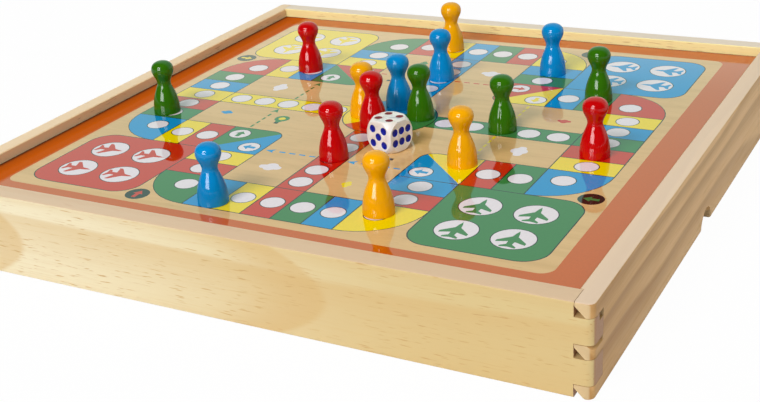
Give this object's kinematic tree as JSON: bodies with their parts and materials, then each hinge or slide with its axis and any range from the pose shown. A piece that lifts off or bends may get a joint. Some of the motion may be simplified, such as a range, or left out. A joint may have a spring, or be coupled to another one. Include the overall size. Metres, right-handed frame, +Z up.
{
  "type": "race-game board box",
  "caption": "Square pine game box with a recessed race-game playing board on top, a sliding base over a storage room, turned pawns and a die.",
  "frame": {"origin": "middle of the frame's underside, on the surface it stands on", "axes": "+Z up; -Y is the front wall; the finger notch is in the right wall at +X and the base slides out at -X"},
  "size_m": [0.29, 0.29, 0.0564],
  "materials": {
    "pine": "sanded pine, satin, with fine brown grain",
    "plywood": "plain thin plywood, matt",
    "printed_sheet": "printed sheet under a clear gloss laminate",
    "lacquer_red": "turned wood under gloss red lacquer",
    "lacquer_green": "turned wood under gloss green lacquer",
    "lacquer_blue": "turned wood under gloss blue lacquer",
    "lacquer_yellow": "turned wood under gloss yellow lacquer",
    "ivory_plastic": "white plastic with sunk red and blue pips"
  },
  "bodies": {
    "frame": {"front_wall": "pine", "back_wall": "pine", "left_wall": "pine", "right_wall": "pine", "board_panel": "plywood", "playing_sheet": "printed_sheet"},
    "sliding_base": {"sliding_base": "plywood"},
    "die": {"die": "ivory_plastic"},
    "pawn_red_1": {"pawn_red_1": "lacquer_red"},
    "pawn_red_2": {"pawn_red_2": "lacquer_red"},
    "pawn_red_3": {"pawn_red_3": "lacquer_red"},
    "pawn_red_4": {"pawn_red_4": "lacquer_red"},
    "pawn_green_1": {"pawn_green_1": "lacquer_green"},
    "pawn_green_2": {"pawn_green_2": "lacquer_green"},
    "pawn_green_3": {"pawn_green_3": "lacquer_green"},
    "pawn_green_4": {"pawn_green_4": "lacquer_green"},
    "pawn_blue_1": {"pawn_blue_1": "lacquer_blue"},
    "pawn_blue_2": {"pawn_blue_2": "lacquer_blue"},
    "pawn_blue_3": {"pawn_blue_3": "lacquer_blue"},
    "pawn_blue_4": {"pawn_blue_4": "lacquer_blue"},
    "pawn_yellow_1": {"pawn_yellow_1": "lacquer_yellow"},
    "pawn_yellow_2": {"pawn_yellow_2": "lacquer_yellow"},
    "pawn_yellow_3": {"pawn_yellow_3": "lacquer_yellow"},
    "pawn_yellow_4": {"pawn_yellow_4": "lacquer_yellow"}
  },
  "joints": [
    {"name": "base_slide", "type": "slide", "parent": "frame", "child": "sliding_base", "axis": [-1, 0, 0], "range_m": [0, 0.27]},
    {"name": "die_lift", "type": "slide", "parent": "frame", "child": "die", "axis": [0, 0, 1], "range_m": [0, 0.03]},
    {"name": "pawn_red_1_lift", "type": "slide", "parent": "frame", "child": "pawn_red_1", "axis": [0, 0, 1], "range_m": [0, 0.03]},
    {"name": "pawn_red_2_lift", "type": "slide", "parent": "frame", "child": "pawn_red_2", "axis": [0, 0, 1], "range_m": [0, 0.03]},
    {"name": "pawn_red_3_lift", "type": "slide", "parent": "frame", "child": "pawn_red_3", "axis": [0, 0, 1], "range_m": [0, 0.03]},
    {"name": "pawn_red_4_lift", "type": "slide", "parent": "frame", "child": "pawn_red_4", "axis": [0, 0, 1], "range_m": [0, 0.03]},
    {"name": "pawn_green_1_lift", "type": "slide", "parent": "frame", "child": "pawn_green_1", "axis": [0, 0, 1], "range_m": [0, 0.03]},
    {"name": "pawn_green_2_lift", "type": "slide", "parent": "frame", "child": "pawn_green_2", "axis": [0, 0, 1], "range_m": [0, 0.03]},
    {"name": "pawn_green_3_lift", "type": "slide", "parent": "frame", "child": "pawn_green_3", "axis": [0, 0, 1], "range_m": [0, 0.03]},
    {"name": "pawn_green_4_lift", "type": "slide", "parent": "frame", "child": "pawn_green_4", "axis": [0, 0, 1], "range_m": [0, 0.03]},
    {"name": "pawn_blue_1_lift", "type": "slide", "parent": "frame", "child": "pawn_blue_1", "axis": [0, 0, 1], "range_m": [0, 0.03]},
    {"name": "pawn_blue_2_lift", "type": "slide", "parent": "frame", "child": "pawn_blue_2", "axis": [0, 0, 1], "range_m": [0, 0.03]},
    {"name": "pawn_blue_3_lift", "type": "slide", "parent": "frame", "child": "pawn_blue_3", "axis": [0, 0, 1], "range_m": [0, 0.03]},
    {"name": "pawn_blue_4_lift", "type": "slide", "parent": "frame", "child": "pawn_blue_4", "axis": [0, 0, 1], "range_m": [0, 0.03]},
    {"name": "pawn_yellow_1_lift", "type": "slide", "parent": "frame", "child": "pawn_yellow_1", "axis": [0, 0, 1], "range_m": [0, 0.03]},
    {"name": "pawn_yellow_2_lift", "type": "slide", "parent": "frame", "child": "pawn_yellow_2", "axis": [0, 0, 1], "range_m": [0, 0.03]},
    {"name": "pawn_yellow_3_lift", "type": "slide", "parent": "frame", "child": "pawn_yellow_3", "axis": [0, 0, 1], "range_m": [0, 0.03]},
    {"name": "pawn_yellow_4_lift", "type": "slide", "parent": "frame", "child": "pawn_yellow_4", "axis": [0, 0, 1], "range_m": [0, 0.03]}
  ]
}
